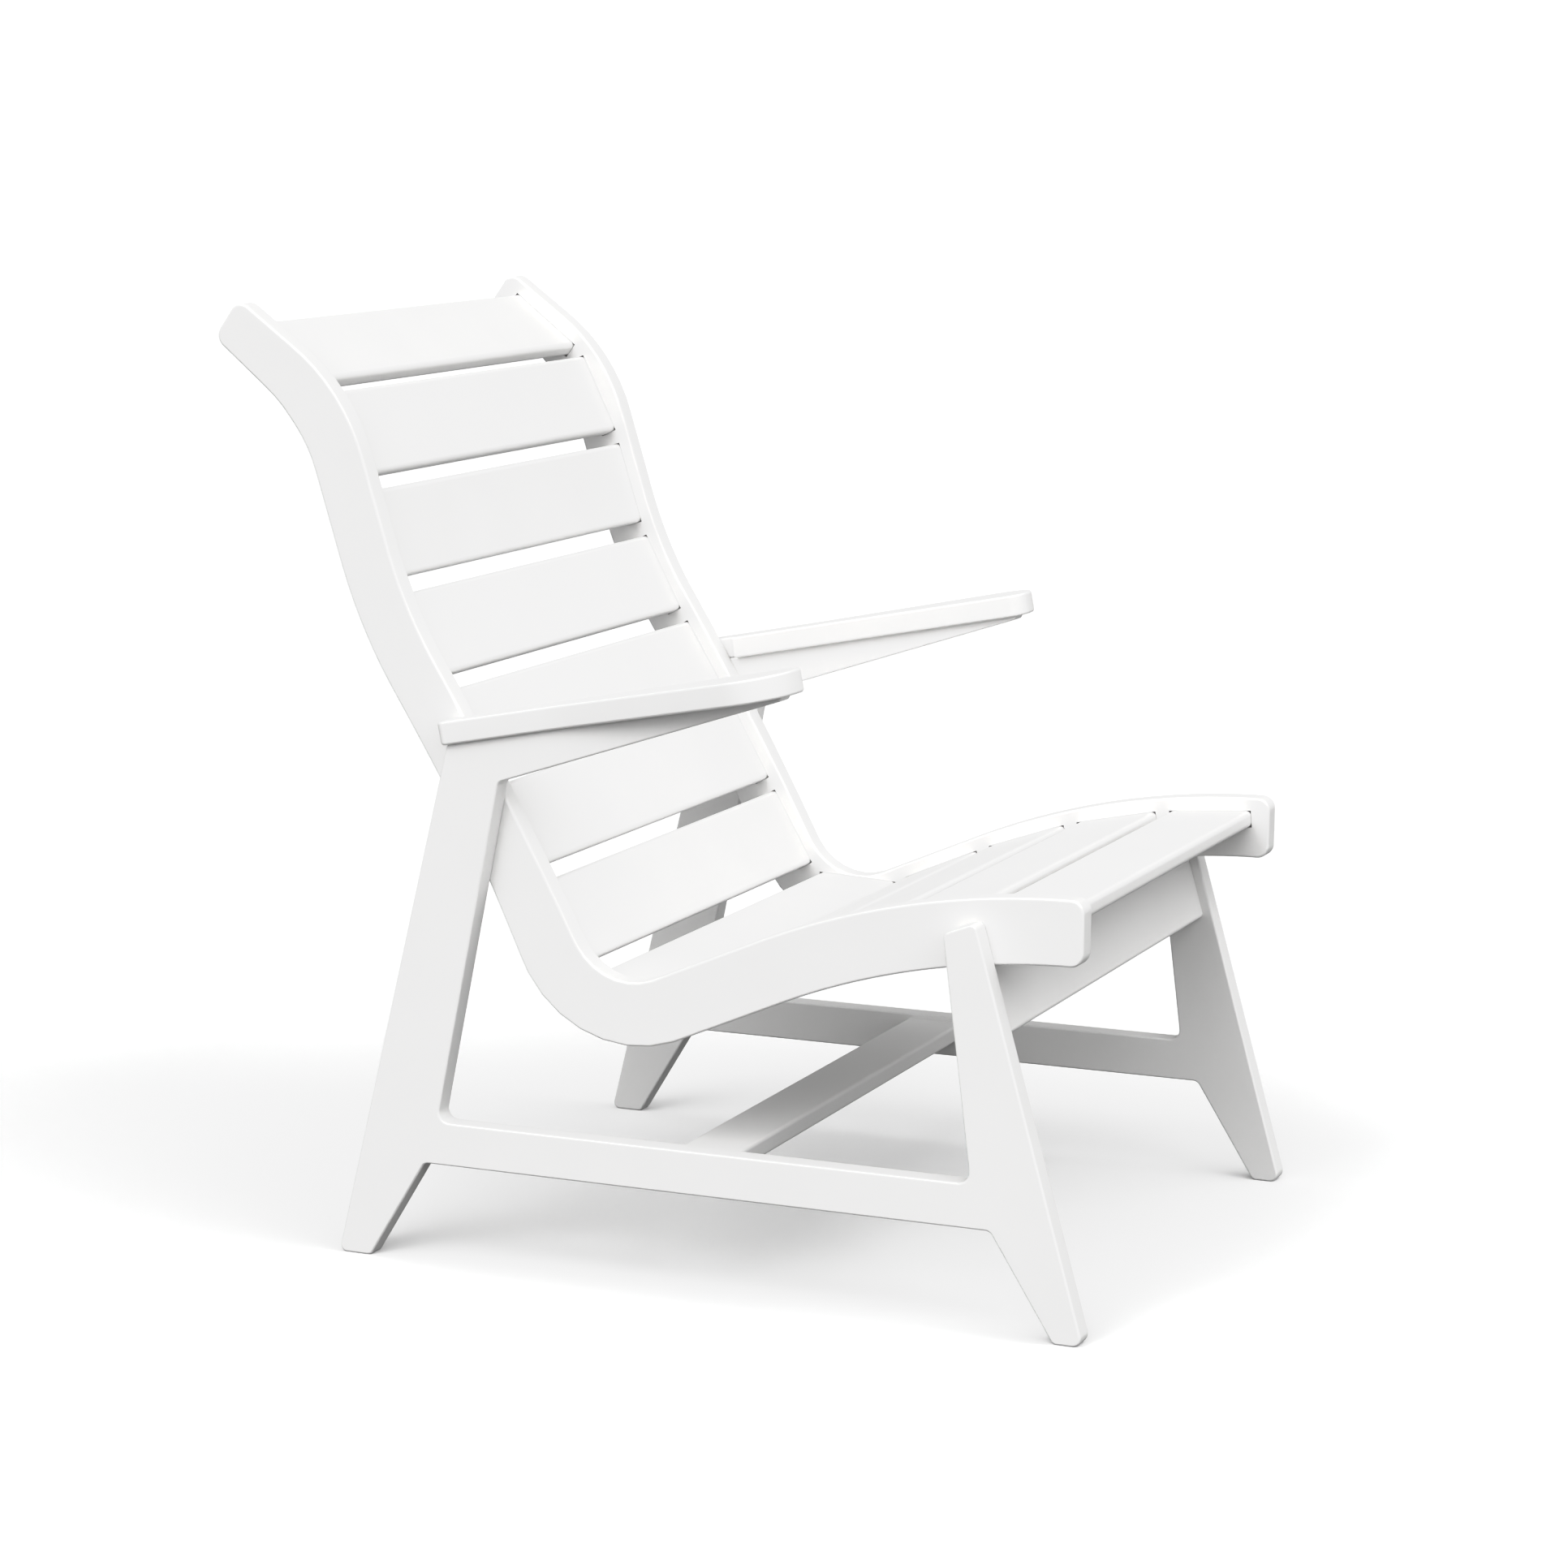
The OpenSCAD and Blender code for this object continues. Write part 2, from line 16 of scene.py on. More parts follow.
import bmesh
import bpy
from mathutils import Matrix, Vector

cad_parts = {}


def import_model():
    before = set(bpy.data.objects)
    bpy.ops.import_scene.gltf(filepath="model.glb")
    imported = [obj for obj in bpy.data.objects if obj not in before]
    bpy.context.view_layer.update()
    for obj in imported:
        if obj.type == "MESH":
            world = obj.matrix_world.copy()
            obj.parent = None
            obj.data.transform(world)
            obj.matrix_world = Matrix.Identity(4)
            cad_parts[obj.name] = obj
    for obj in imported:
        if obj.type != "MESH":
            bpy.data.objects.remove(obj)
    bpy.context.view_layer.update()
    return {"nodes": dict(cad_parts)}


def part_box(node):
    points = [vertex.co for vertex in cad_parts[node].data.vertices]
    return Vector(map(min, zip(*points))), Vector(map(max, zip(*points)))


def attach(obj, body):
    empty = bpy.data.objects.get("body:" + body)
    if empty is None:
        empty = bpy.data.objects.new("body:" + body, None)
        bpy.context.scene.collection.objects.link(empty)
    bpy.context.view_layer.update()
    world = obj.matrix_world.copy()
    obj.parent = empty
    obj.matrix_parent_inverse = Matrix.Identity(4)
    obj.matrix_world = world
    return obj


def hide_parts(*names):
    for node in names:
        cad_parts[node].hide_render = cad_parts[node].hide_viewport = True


log = logging.getLogger("lounge_chair")

MM = 0.001
BODY = "root"
NEAR = 0.02 * MM
SMOOTH_ANGLE = math.radians(38)
ARC_STEP = 9.0
RIM_FACETS = 3


class Side(Enum):
    """The sitter's right or left, as a sign on X."""

    RIGHT = -1
    LEFT = 1


class Plane(Enum):
    """The plane an outline is drawn in."""

    UPRIGHT = "yz"
    FLAT = "xy"


class Slot(Enum):
    """The material slots of the chair."""

    SHEET = "white_sheet"
    STEEL = "stainless"
    INSERT = "insert_brass"


# ---------------------------------------------------------------- materials


class Recipe:
    """Adds and joins the nodes of one procedural material."""

    def __init__(self, name: str) -> None:
        """Starts a material with a shader and Object coordinates.

        Args:
            name: The material's name.
        """
        self.material = bpy.data.materials.new(name)
        self.material.use_nodes = True
        self.tree = self.material.node_tree
        self.shader = self.tree.nodes["Principled BSDF"]
        self.place = self.tree.nodes.new("ShaderNodeTexCoord").outputs["Object"]

    def wire(self, source: bpy.types.NodeSocket, target: bpy.types.NodeSocket) -> None:
        """Joins an output to an input."""
        self.tree.links.new(source, target)

    def noise(self, scale: float, detail: float) -> bpy.types.NodeSocket:
        """Adds a noise texture on Object coordinates.

        Args:
            scale: Cells per metre.
            detail: Octaves of finer noise.

        Returns:
            The noise's value socket.
        """
        node = self.tree.nodes.new("ShaderNodeTexNoise")
        node.inputs["Scale"].default_value = scale
        node.inputs["Detail"].default_value = detail
        self.wire(self.place, node.inputs["Vector"])
        return node.outputs["Fac"]

    def ramp(self, source: bpy.types.NodeSocket, low: tuple, high: tuple) -> bpy.types.NodeSocket:
        """Adds a two-stop colour ramp.

        Args:
            source: The value that drives the ramp.
            low: (position, (r, g, b)) of the first stop.
            high: (position, (r, g, b)) of the second stop.

        Returns:
            The ramp's colour socket.
        """
        node = self.tree.nodes.new("ShaderNodeValToRGB")
        for stop, (position, colour) in zip(node.color_ramp.elements, (low, high)):
            stop.position = position
            stop.color = (*colour, 1.0)
        self.wire(source, node.inputs["Fac"])
        return node.outputs["Color"]

    def span(self, source: bpy.types.NodeSocket, low: float, high: float) -> bpy.types.NodeSocket:
        """Maps a 0 to 1 value onto a range.

        Args:
            source: The value.
            low: The result at 0.
            high: The result at 1.

        Returns:
            The mapped socket.
        """
        node = self.tree.nodes.new("ShaderNodeMapRange")
        node.inputs["To Min"].default_value = low
        node.inputs["To Max"].default_value = high
        self.wire(source, node.inputs["Value"])
        return node.outputs["Result"]

    def bump(self, height: bpy.types.NodeSocket, depth: float, strength: float) -> None:
        """Adds a bump to the shader, on top of any that is there.

        Args:
            height: The height socket.
            depth: The depth of the relief in metres.
            strength: The share of it that shows.
        """
        node = self.tree.nodes.new("ShaderNodeBump")
        node.inputs["Strength"].default_value = strength
        node.inputs["Distance"].default_value = depth
        self.wire(height, node.inputs["Height"])
        before = self.shader.inputs["Normal"]
        if before.is_linked:
            self.wire(before.links[0].from_socket, node.inputs["Normal"])
        self.wire(node.outputs["Normal"], before)


@dataclass(frozen=True)
class SheetFinish:
    """White solid sheet with a fine orange-peel skin on its faces."""

    name: str = "white_sheet_skin"
    light: tuple[float, float, float] = (0.812, 0.809, 0.804)
    shade: tuple[float, float, float] = (0.795, 0.792, 0.787)
    cloud: float = 9.0
    cloud_detail: float = 4.0
    cloud_low: float = 0.3
    cloud_high: float = 0.7
    grain: float = 620.0
    grain_detail: float = 2.0
    grain_depth: float = 0.22 * MM
    grain_strength: float = 0.35
    roughness_low: float = 0.50
    roughness_high: float = 0.62
    refraction: float = 1.5
    gloss: float = 0.3

    def make(self) -> bpy.types.Material:
        """Builds the material.

        Returns:
            The finished material.
        """
        recipe = Recipe(self.name)
        sockets = recipe.shader.inputs
        cloud = recipe.noise(self.cloud, self.cloud_detail)
        tone = recipe.ramp(cloud, (self.cloud_low, self.shade), (self.cloud_high, self.light))
        recipe.wire(tone, sockets["Base Color"])
        grain = recipe.noise(self.grain, self.grain_detail)
        recipe.wire(recipe.span(grain, self.roughness_low, self.roughness_high), sockets["Roughness"])
        recipe.bump(grain, self.grain_depth, self.grain_strength)
        sockets["IOR"].default_value = self.refraction
        sockets["Specular IOR Level"].default_value = self.gloss
        return recipe.material


@dataclass(frozen=True)
class MetalFinish:
    """Plain metal with faint turning marks."""

    name: str
    light: tuple[float, float, float]
    shade: tuple[float, float, float]
    marks: float = 900.0
    marks_detail: float = 3.0
    marks_low: float = 0.35
    marks_high: float = 0.65
    marks_depth: float = 0.05 * MM
    marks_strength: float = 0.3
    roughness_low: float = 0.24
    roughness_high: float = 0.36

    def make(self) -> bpy.types.Material:
        """Builds the material.

        Returns:
            The finished material.
        """
        recipe = Recipe(self.name)
        sockets = recipe.shader.inputs
        marks = recipe.noise(self.marks, self.marks_detail)
        tone = recipe.ramp(marks, (self.marks_low, self.shade), (self.marks_high, self.light))
        recipe.wire(tone, sockets["Base Color"])
        recipe.wire(recipe.span(marks, self.roughness_low, self.roughness_high), sockets["Roughness"])
        recipe.bump(marks, self.marks_depth, self.marks_strength)
        sockets["Metallic"].default_value = 1.0
        return recipe.material


STEEL = MetalFinish("stainless_steel", (0.72, 0.73, 0.74), (0.62, 0.63, 0.64))
BRASS = MetalFinish("insert_brass_metal", (0.78, 0.63, 0.34), (0.66, 0.52, 0.27))


@dataclass(frozen=True)
class FloorFinish:
    """Pale matt floor that glows faintly and throws little light back on the chair."""

    name: str = "pale_floor"
    seen: tuple[float, float, float] = (0.95, 0.95, 0.95)
    thrown: tuple[float, float, float] = (0.12, 0.12, 0.12)
    lift: float = 0.045
    roughness: float = 0.9
    gloss: float = 0.1

    def make(self) -> bpy.types.Material:
        """Builds the material.

        Returns:
            The finished material.
        """
        recipe = Recipe(self.name)
        sockets = recipe.shader.inputs
        path = recipe.tree.nodes.new("ShaderNodeLightPath").outputs["Is Camera Ray"]
        recipe.wire(recipe.ramp(path, (0.0, self.thrown), (1.0, self.seen)), sockets["Base Color"])
        recipe.wire(recipe.span(path, 0.0, self.lift), sockets["Emission Strength"])
        sockets["Emission Color"].default_value = (1.0, 1.0, 1.0, 1.0)
        sockets["Roughness"].default_value = self.roughness
        sockets["Specular IOR Level"].default_value = self.gloss
        return recipe.material


# ---------------------------------------------------------------- the chair's plan


@dataclass(frozen=True)
class Corner:
    """A corner of an outline: its place in the outline's plane and its rounding radius."""

    a: float
    b: float
    radius: float = 0.0


@dataclass(frozen=True)
class Stretch:
    """A stretch of the seat curve: its length in slat pitches and its turn in degrees."""

    pitches: float
    turn: float


@dataclass(frozen=True)
class Plan:
    """The chair's driving sizes and the lines that follow from them."""

    frame_w: float = 700 * MM
    seat_h: float = 453 * MM
    stance: float = 857 * MM
    foot_lead: float = 14 * MM
    sheet_t: float = 25 * MM
    slat_t: float = 19 * MM
    board_t: float = 20 * MM
    slat_count: int = 12
    seat_slats: int = 4
    slat_w: float = 97 * MM
    slat_gap: float = 17 * MM
    mortise_deep: float = 9 * MM
    mortise_play: float = 0.3 * MM
    rail_lip: float = 15 * MM
    rail_over: float = 22 * MM
    rail_seat_deep: float = 54 * MM
    rail_back_deep: float = 45.5 * MM
    rail_top_deep: float = 37 * MM
    rail_end_r: float = 14 * MM
    slim_pitches: float = 1.3
    top_pitches: float = 1.2
    leg_cross: float = 6.26
    leg_top_w: float = 71 * MM
    leg_low_w: float = 84 * MM
    stretcher_h: float = 110 * MM
    stretcher_deep: float = 47 * MM
    rear_foot_w: float = 39 * MM
    front_foot_w: float = 33 * MM
    rear_crotch: float = 107 * MM
    front_crotch: float = 102 * MM
    leg_set: float = 107 * MM
    leg_tip_w: float = 37 * MM
    leg_knee_w: float = 79 * MM
    leg_drop: float = 21 * MM
    leg_tip_fall: float = 9 * MM
    toe_r: float = 10 * MM
    heel_r: float = 8 * MM
    foot_r: float = 6 * MM
    crotch_r: float = 8 * MM
    window_r: float = 12 * MM
    top_r: float = 7 * MM
    arm_h: float = 645 * MM
    arm_tilt: float = 11.0
    arm_len: float = 412 * MM
    arm_back_w: float = 45 * MM
    arm_front_w: float = 86 * MM
    arm_inside: float = 13 * MM
    arm_waist: float = 272 * MM
    arm_bow_r: float = 53 * MM
    arm_tip_r: float = 18 * MM
    arm_tail_r: float = 8 * MM
    arm_waist_r: float = 300 * MM
    arm_past: float = 5 * MM
    arm_seat_r: float = 4 * MM
    bracket_deep: float = 46 * MM
    bracket_set: float = 14 * MM
    bracket_tip: float = 5.5 * MM
    bracket_lead: float = 3 * MM
    arm_gap: float = 8 * MM
    arm_side_gap: float = 1 * MM
    notch_r: float = 4 * MM
    apron_deep: float = 74 * MM
    apron_set: float = 11 * MM
    apron_gap: float = 2 * MM
    low_board_w: float = 68 * MM
    low_board_drop: float = 5 * MM
    arm_screw_set: float = 82 * MM
    arm_screw_step: float = 91 * MM
    arm_screw_count: int = 3
    start_slope: float = 0.5
    stretches: tuple[Stretch, ...] = (
        Stretch(3.18, -23.9),
        Stretch(1.10, 0.0),
        Stretch(1.13, 86.1),
        Stretch(2.87, -4.7),
        Stretch(1.20, 15.2),
        Stretch(0.87, 0.0),
        Stretch(1.15, -37.0),
        Stretch(0.68, 0.0),
    )
    rail_front_y: float = 0.0

    @property
    def inner_x(self) -> float:
        """X of the side frames' inner faces, on the +X side."""
        return self.frame_w / 2 - self.sheet_t

    @property
    def rail_in_x(self) -> float:
        """X of the rails' inner faces, on the +X side."""
        return self.inner_x - self.sheet_t

    @property
    def slat_end_x(self) -> float:
        """X of the slats' ends, on the +X side."""
        return self.rail_in_x + self.mortise_deep

    @property
    def pitch(self) -> float:
        """Length of curve that one slat and one gap take."""
        return self.slat_w + self.slat_gap

    @property
    def run_len(self) -> float:
        """Length of the rails along the curve."""
        return 2 * self.rail_over + self.slat_count * self.slat_w + (self.slat_count - 1) * self.slat_gap

    def walk(self, run: float) -> tuple[float, float, float]:
        """Follows the seat curve from the rails' front end.

        Args:
            run: Length along the curve.

        Returns:
            (y, z, heading in degrees) at that length.
        """
        y, z, heading = self.rail_front_y, self.seat_h - self.rail_lip, self.start_slope
        for number, stretch in enumerate(self.stretches):
            whole = stretch.pitches * self.pitch
            last = number == len(self.stretches) - 1
            step = run if last else min(run, whole)
            turn = stretch.turn * step / whole
            before, after = math.radians(heading), math.radians(heading + turn)
            if abs(turn) < 0.001:
                y += step * math.cos(before)
                z += step * math.sin(before)
            else:
                radius = step / math.radians(turn)
                y += radius * (math.sin(after) - math.sin(before))
                z -= radius * (math.cos(after) - math.cos(before))
            heading += turn
            run -= step
            if run <= 0:
                break
        return y, z, heading

    def on_curve(self, run: float, off: float = 0.0) -> tuple[float, float]:
        """A point set off from the seat curve along its upper normal.

        Args:
            run: Length along the curve.
            off: Distance above the slats' upper faces.

        Returns:
            (y, z) of the point.
        """
        y, z, heading = self.walk(run)
        angle = math.radians(heading)
        return y - off * math.sin(angle), z + off * math.cos(angle)

    def slat_run(self, number: float) -> float:
        """Length along the curve of a slat's middle, counted from the front."""
        return self.rail_over + self.slat_w / 2 + number * self.pitch

    def rail_deep(self, run: float) -> float:
        """Depth of the rail below the slats' upper faces.

        Args:
            run: Length along the curve.

        Returns:
            The depth there.
        """
        bend = sum(stretch.pitches for stretch in self.stretches[:3]) * self.pitch
        stops = (
            (0.0, self.rail_seat_deep),
            (bend, self.rail_seat_deep),
            (bend + self.slim_pitches * self.pitch, self.rail_back_deep),
            (self.run_len - self.top_pitches * self.pitch, self.rail_back_deep),
            (self.run_len, self.rail_top_deep),
        )
        for (start, low), (end, high) in zip(stops, stops[1:]):
            if run <= end:
                return low + (high - low) * (run - start) / (end - start)
        return stops[-1][1]

    @property
    def cross_run(self) -> float:
        """Length along the curve where the rails cross the rear legs."""
        return self.slat_run(self.leg_cross)

    @property
    def cross(self) -> tuple[float, float]:
        """(y, z) where the rails cross the rear legs."""
        return self.on_curve(self.cross_run, -(self.slat_t + self.rail_back_deep) / 2)

    @property
    def foot_front(self) -> float:
        """Y of the front foot's front edge."""
        return self.rail_front_y - self.foot_lead

    @property
    def foot_back(self) -> float:
        """Y of the rear foot's back edge."""
        return self.foot_front + self.stance

    @property
    def stretcher_top(self) -> float:
        """Height of the top of the stretchers."""
        return self.stretcher_h + self.stretcher_deep

    @property
    def arm_fall(self) -> float:
        """Fall of the arm per unit of length on the floor."""
        return math.tan(math.radians(self.arm_tilt))

    @property
    def arm_back_y(self) -> float:
        """Y where the rear leg's back edge meets the arm's underside.

        Returns:
            The y there.
        """
        slope = (self.cross[0] + self.leg_top_w / 2 - self.foot_back) / self.cross[1]
        run = self.arm_len * math.cos(math.radians(self.arm_tilt)) - self.arm_past
        return self.foot_back + slope * (self.arm_h - self.arm_fall * run)

    @property
    def arm_y0(self) -> float:
        """Y of the arm's front end."""
        return self.arm_back_y + self.arm_past - self.arm_len * math.cos(math.radians(self.arm_tilt))

    def arm_under(self, y: float) -> float:
        """Height of the arm's underside at y."""
        return self.arm_h - self.arm_fall * (y - self.arm_y0)

    def arm_screw_ys(self) -> list[float]:
        """Y of each arm screw."""
        first = self.arm_y0 + self.arm_screw_set
        return [first + number * self.arm_screw_step for number in range(self.arm_screw_count)]

    def front_edge_y(self, z: float) -> float:
        """Y of the front leg's front edge at a height."""
        tip = self.on_curve(self.leg_set, self.rail_lip - self.leg_drop)
        return across((self.foot_front, 0.0), tip, z)

    @property
    def apron_lean(self) -> float:
        """Lean of the front legs and the apron, in radians from upright."""
        tip = self.on_curve(self.leg_set, self.rail_lip - self.leg_drop)
        return math.atan2(tip[0] - self.foot_front, tip[1])

    @property
    def apron_top(self) -> tuple[float, float]:
        """(y, z) of the apron's upper front corner."""
        z = self.on_curve(self.leg_set, -self.rail_seat_deep)[1] - self.apron_gap
        return self.front_edge_y(z) + self.apron_set / math.cos(self.apron_lean), z


def across(low: tuple[float, float], high: tuple[float, float], z: float) -> float:
    """Y on the line through two (y, z) points at a height.

    Args:
        low: The first point.
        high: The second point.
        z: The height.

    Returns:
        The y there.
    """
    return low[0] + (high[0] - low[0]) * (z - low[1]) / (high[1] - low[1])


# ---------------------------------------------------------------- modelling by hand


def let_go() -> None:
    """Leaves edit mode and deselects everything."""
    if bpy.context.object is not None and bpy.context.object.mode != "OBJECT":
        bpy.ops.object.mode_set(mode="OBJECT")
    bpy.ops.object.select_all(action="DESELECT")


def take(piece: bpy.types.Object) -> None:
    """Makes one object the only selected and the active one.

    Args:
        piece: The object.
    """
    let_go()
    piece.select_set(True)
    bpy.context.view_layer.objects.active = piece


def shape(piece: bpy.types.Object, mode: str) -> None:
    """Opens a piece in edit mode with nothing selected.

    Args:
        piece: The piece.
        mode: VERT, EDGE or FACE.
    """
    take(piece)
    bpy.ops.object.mode_set(mode="EDIT")
    bpy.ops.mesh.select_mode(type=mode)
    bpy.ops.mesh.select_all(action="DESELECT")


def pick_verts(piece: bpy.types.Object, wanted: Callable[[Vector], bool]) -> None:
    """Selects the vertices whose place passes a test, in edit mode.

    Args:
        piece: The piece.
        wanted: The test of a vertex's place.
    """
    mesh = bmesh.from_edit_mesh(piece.data)
    for vert in mesh.verts:
        vert.select_set(wanted(piece.matrix_world @ vert.co))
    mesh.select_flush_mode()
    bmesh.update_edit_mesh(piece.data)


def pick_edges(piece: bpy.types.Object, wanted: Callable[[Vector, Vector], bool]) -> None:
    """Selects the edges whose two ends pass a test, in edit mode.

    Args:
        piece: The piece.
        wanted: The test of the two ends' places.
    """
    mesh = bmesh.from_edit_mesh(piece.data)
    place = piece.matrix_world
    for edge in mesh.edges:
        edge.select_set(wanted(place @ edge.verts[0].co, place @ edge.verts[1].co))
    mesh.select_flush_mode()
    bmesh.update_edit_mesh(piece.data)


def settle(piece: bpy.types.Object) -> None:
    """Applies a piece's place, turn and scale to its mesh."""
    take(piece)
    bpy.ops.object.transform_apply(location=True, rotation=True, scale=True)


def turn_and_place(piece: bpy.types.Object, tilt: float, place: Vector) -> None:
    """Turns a piece about X, moves it and applies both to its mesh.

    Args:
        piece: The piece, with its object at the origin.
        tilt: Angle about X in radians.
        place: Where its origin goes.
    """
    piece.rotation_euler = (tilt, 0.0, 0.0)
    piece.location = place
    settle(piece)


def press_modifier(piece: bpy.types.Object, kind: str, **settings: object) -> None:
    """Adds a modifier and applies it.

    Args:
        piece: The piece.
        kind: The modifier's type.
        **settings: Its properties.
    """
    take(piece)
    modifier = piece.modifiers.new(kind.lower(), kind)
    for key, value in settings.items():
        setattr(modifier, key, value)
    bpy.ops.object.modifier_apply(modifier=modifier.name)


def cut_away(piece: bpy.types.Object, cutter: bpy.types.Object) -> None:
    """Cuts a cutter's shape out of a piece and discards the cutter."""
    press_modifier(piece, "BOOLEAN", operation="DIFFERENCE", object=cutter, solver="EXACT")
    bpy.data.objects.remove(cutter)


def copy_of(piece: bpy.types.Object) -> bpy.types.Object:
    """Copies a piece with a mesh of its own.

    Args:
        piece: The piece to copy.

    Returns:
        The copy.
    """
    take(piece)
    bpy.ops.object.duplicate(linked=False)
    return bpy.context.object


def joined(pieces: Iterable[bpy.types.Object]) -> bpy.types.Object:
    """Joins several objects into the first.

    Args:
        pieces: The objects.

    Returns:
        The joined object.
    """
    pieces = list(pieces)
    take(pieces[0])
    for piece in pieces[1:]:
        piece.select_set(True)
    if len(pieces) > 1:
        bpy.ops.object.join()
    return pieces[0]


def draw_outline(plane: Plane, level: float, corners: list[Corner]) -> bpy.types.Object:
    """Draws a closed outline point by point, fills it and rounds its corners.

    Args:
        plane: The plane to draw in.
        level: The plane's height, or its x when it is upright.
        corners: The outline's corners in order.

    Returns:
        The flat face as an object.
    """

    def spot(a: float, b: float) -> Vector:
        """A place in the outline's plane as a point in space."""
        return Vector((level, a, b)) if plane is Plane.UPRIGHT else Vector((a, b, level))

    let_go()
    first = corners[0]
    bpy.ops.mesh.primitive_plane_add(size=0.01, location=spot(first.a, first.b))
    piece = bpy.context.object
    bpy.ops.object.mode_set(mode="EDIT")
    bpy.ops.mesh.select_mode(type="VERT")
    bpy.ops.mesh.select_all(action="SELECT")
    bpy.ops.mesh.merge(type="CENTER")
    for here, there in zip(corners, corners[1:]):
        step = spot(there.a, there.b) - spot(here.a, here.b)
        bpy.ops.mesh.extrude_region_move(TRANSFORM_OT_translate={"value": step})
    bpy.ops.mesh.select_all(action="SELECT")
    bpy.ops.mesh.edge_face_add()
    settle(piece)
    shape(piece, "VERT")
    count = len(corners)
    for number, corner in enumerate(corners):
        if corner.radius < NEAR:
            continue
        here = Vector((corner.a, corner.b))
        back = corners[number - 1]
        ahead = corners[(number + 1) % count]
        into = (Vector((back.a, back.b)) - here).angle(Vector((ahead.a, ahead.b)) - here)
        place = spot(corner.a, corner.b)
        pick_verts(piece, lambda point, place=place: (point - place).length < 2 * NEAR)
        turn = math.degrees(math.pi - into)
        bpy.ops.mesh.bevel(
            affect="VERTICES",
            offset_type="OFFSET",
            offset=corner.radius / math.tan(into / 2),
            segments=max(RIM_FACETS, math.ceil(turn / ARC_STEP)),
            profile=0.5,
            clamp_overlap=False,
        )
    let_go()
    return piece


def thicken(piece: bpy.types.Object, plane: Plane, thickness: float) -> None:
    """Pulls a flat face out into a sheet of even thickness.

    Args:
        piece: The flat face.
        plane: The plane it lies in.
        thickness: How far it is pulled, along +X or +Z.
    """
    shape(piece, "FACE")
    bpy.ops.mesh.select_all(action="SELECT")
    pull = (thickness, 0, 0) if plane is Plane.UPRIGHT else (0, 0, thickness)
    bpy.ops.mesh.extrude_region_move(TRANSFORM_OT_translate={"value": pull})
    bpy.ops.mesh.select_all(action="SELECT")
    bpy.ops.mesh.normals_make_consistent(inside=False)
    let_go()


def round_rims(piece: bpy.types.Object, axis: int, levels: tuple[float, ...], radius: float) -> None:
    """Rounds the edges that lie in the given planes across an axis.

    Args:
        piece: The piece.
        axis: 0, 1 or 2 for X, Y or Z.
        levels: The planes' places along the axis.
        radius: The rounding radius.
    """

    def on_rim(start: Vector, end: Vector) -> bool:
        """Whether an edge lies in one of the planes."""
        return any(max(abs(start[axis] - level), abs(end[axis] - level)) < NEAR for level in levels)

    shape(piece, "EDGE")
    pick_edges(piece, on_rim)
    bpy.ops.mesh.bevel(
        affect="EDGES", offset=radius, segments=RIM_FACETS, profile=0.5, clamp_overlap=False
    )
    let_go()


def smooth(piece: bpy.types.Object) -> None:
    """Shades a piece smooth, keeping its sharp edges and its flat faces flat.

    Args:
        piece: The piece.
    """
    take(piece)
    bpy.ops.object.shade_smooth_by_angle(angle=SMOOTH_ANGLE)
    press_modifier(piece, "WEIGHTED_NORMAL", keep_sharp=True, weight=80)


def drill(radius: float, length: float, facets: int, place: Vector) -> bpy.types.Object:
    """Makes an upright round cutter.

    Args:
        radius: Its radius.
        length: Its length.
        facets: Facets round it.
        place: The place of its middle.

    Returns:
        The cutter.
    """
    let_go()
    bpy.ops.mesh.primitive_cylinder_add(radius=radius, depth=length, vertices=facets, location=place)
    return bpy.context.object


def hand_over(piece: bpy.types.Object, node: str, finish: bpy.types.Material) -> None:
    """Dresses a finished sheet piece and puts it in place of its CAD node.

    Args:
        piece: The finished piece.
        node: The CAD node it stands for, whose name it takes.
        finish: Its material.
    """
    settle(piece)
    piece.name = f"{node}_finished"
    piece.data.name = piece.name
    piece.data.materials.clear()
    piece.data.materials.append(finish)
    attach(piece, BODY)
    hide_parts(node)
    log.info("%s: %d faces", piece.name, len(piece.data.polygons))


# ---------------------------------------------------------------- the chair's parts


